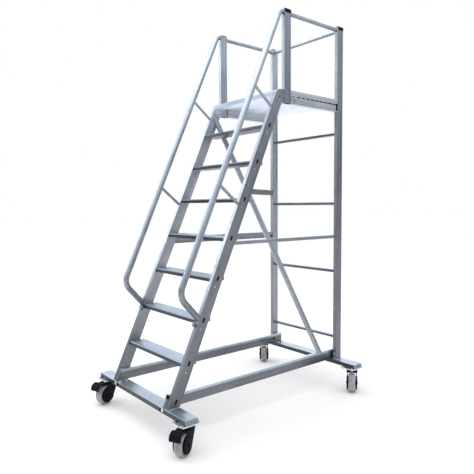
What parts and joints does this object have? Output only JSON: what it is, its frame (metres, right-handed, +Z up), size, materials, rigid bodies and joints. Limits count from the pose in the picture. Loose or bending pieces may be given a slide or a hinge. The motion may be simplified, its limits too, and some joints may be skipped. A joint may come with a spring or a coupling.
{
  "type": "rolling warehouse ladder",
  "caption": "Aluminium platform ladder on swivel casters: leaning treads with bent handrails, guarded platform, wide wheeled base and foot brakes.",
  "frame": {"origin": "on the floor, at the centre of the bounding box as it stands, front brake pedals included; the ladder's own centre plane is x = -0.0229 m", "axes": "+Z up, +Y the way a climber faces, from the treads to the rear posts, +X the climber's right"},
  "size_m": [1.1518, 1.7438, 2.7629],
  "materials": {
    "aluminium": "mill finish, fine lengthwise grain",
    "decking": "mill finish with anti-slip grooves",
    "zinc": "zinc plated",
    "black_steel": "black satin paint",
    "black_plastic": "matte",
    "tyre": "grey translucent elastic tread"
  },
  "bodies": {
    "frame": {"front_beam": "aluminium", "rear_beam": "aluminium", "side_rail_left": "aluminium", "side_rail_right": "aluminium", "stile_left": "aluminium", "stile_right": "aluminium", "tread_1": "decking", "tread_2": "decking", "tread_3": "decking", "tread_4": "decking", "tread_5": "decking", "tread_6": "decking", "tread_7": "decking", "platform_nosing": "decking", "platform_deck": "decking", "handrail_left": "aluminium", "handrail_right": "aluminium", "handrail_strut_upper_left": "aluminium", "handrail_strut_upper_right": "aluminium", "handrail_strut_lower_left": "aluminium", "handrail_strut_lower_right": "aluminium", "platform_beam_left": "aluminium", "platform_beam_right": "aluminium", "guard_post_left": "aluminium", "guard_post_right": "aluminium", "rear_post_left": "aluminium", "rear_post_right": "aluminium", "guard_post_left_cap": "black_plastic", "guard_post_right_cap": "black_plastic", "rear_post_left_cap": "black_plastic", "rear_post_right_cap": "black_plastic", "top_rail_left": "aluminium", "top_rail_right": "aluminium", "top_rail_rear": "aluminium", "mid_tie_left": "aluminium", "mid_tie_right": "aluminium", "diagonal_brace": "aluminium", "brace_stay": "aluminium", "rear_rung_1": "aluminium", "rear_rung_2": "aluminium", "rear_rung_3": "aluminium", "rear_rung_4": "aluminium", "caster_plate_front_right": "zinc", "caster_plate_front_left": "zinc", "caster_plate_rear_right": "zinc", "caster_plate_rear_left": "zinc"},
    "caster_front_right": {"caster_fork_front_right": "black_steel", "caster_axle_front_right": "zinc"},
    "wheel_front_right": {"caster_wheel_front_right": "tyre"},
    "pedal_front_right": {"brake_pedal_front_right": "black_plastic"},
    "caster_front_left": {"caster_fork_front_left": "black_steel", "caster_axle_front_left": "zinc"},
    "wheel_front_left": {"caster_wheel_front_left": "tyre"},
    "pedal_front_left": {"brake_pedal_front_left": "black_plastic"},
    "caster_rear_right": {"caster_fork_rear_right": "black_steel", "caster_axle_rear_right": "zinc"},
    "wheel_rear_right": {"caster_wheel_rear_right": "tyre"},
    "caster_rear_left": {"caster_fork_rear_left": "black_steel", "caster_axle_rear_left": "zinc"},
    "wheel_rear_left": {"caster_wheel_rear_left": "tyre"}
  },
  "joints": [
    {"name": "swivel_front_right", "type": "hinge", "parent": "frame", "child": "caster_front_right", "pos_m": [0.47411, -0.72309, 0.145], "axis": [0, 0, 1], "continuous": true},
    {"name": "roll_front_right", "type": "hinge", "parent": "caster_front_right", "child": "wheel_front_right", "pos_m": [0.49738, -0.76507, 0.069], "axis": [0.8746, 0.4848, 0], "continuous": true},
    {"name": "brake_front_right", "type": "hinge", "parent": "caster_front_right", "child": "pedal_front_right", "pos_m": [0.50029, -0.77032, 0.1475], "axis": [0.8746, 0.4848, 0], "range_deg": [0, 12]},
    {"name": "swivel_front_left", "type": "hinge", "parent": "frame", "child": "caster_front_left", "pos_m": [-0.51989, -0.72309, 0.145], "axis": [0, 0, 1], "continuous": true},
    {"name": "roll_front_left", "type": "hinge", "parent": "caster_front_left", "child": "wheel_front_left", "pos_m": [-0.50426, -0.76848, 0.069], "axis": [0.9455, 0.3256, 0], "continuous": true},
    {"name": "brake_front_left", "type": "hinge", "parent": "caster_front_left", "child": "pedal_front_left", "pos_m": [-0.50231, -0.77415, 0.1475], "axis": [0.9455, 0.3256, 0], "range_deg": [0, 12]},
    {"name": "swivel_rear_right", "type": "hinge", "parent": "frame", "child": "caster_rear_right", "pos_m": [0.47411, 0.80491, 0.145], "axis": [0, 0, 1], "continuous": true},
    {"name": "roll_rear_right", "type": "hinge", "parent": "caster_rear_right", "child": "wheel_rear_right", "pos_m": [0.50299, 0.76658, 0.069], "axis": [0.7986, 0.6018, 0], "continuous": true},
    {"name": "swivel_rear_left", "type": "hinge", "parent": "frame", "child": "caster_rear_left", "pos_m": [-0.51989, 0.80491, 0.145], "axis": [0, 0, 1], "continuous": true},
    {"name": "roll_rear_left", "type": "hinge", "parent": "caster_rear_left", "child": "wheel_rear_left", "pos_m": [-0.48536, 0.77157, 0.069], "axis": [0.6947, 0.7193, 0], "continuous": true}
  ]
}
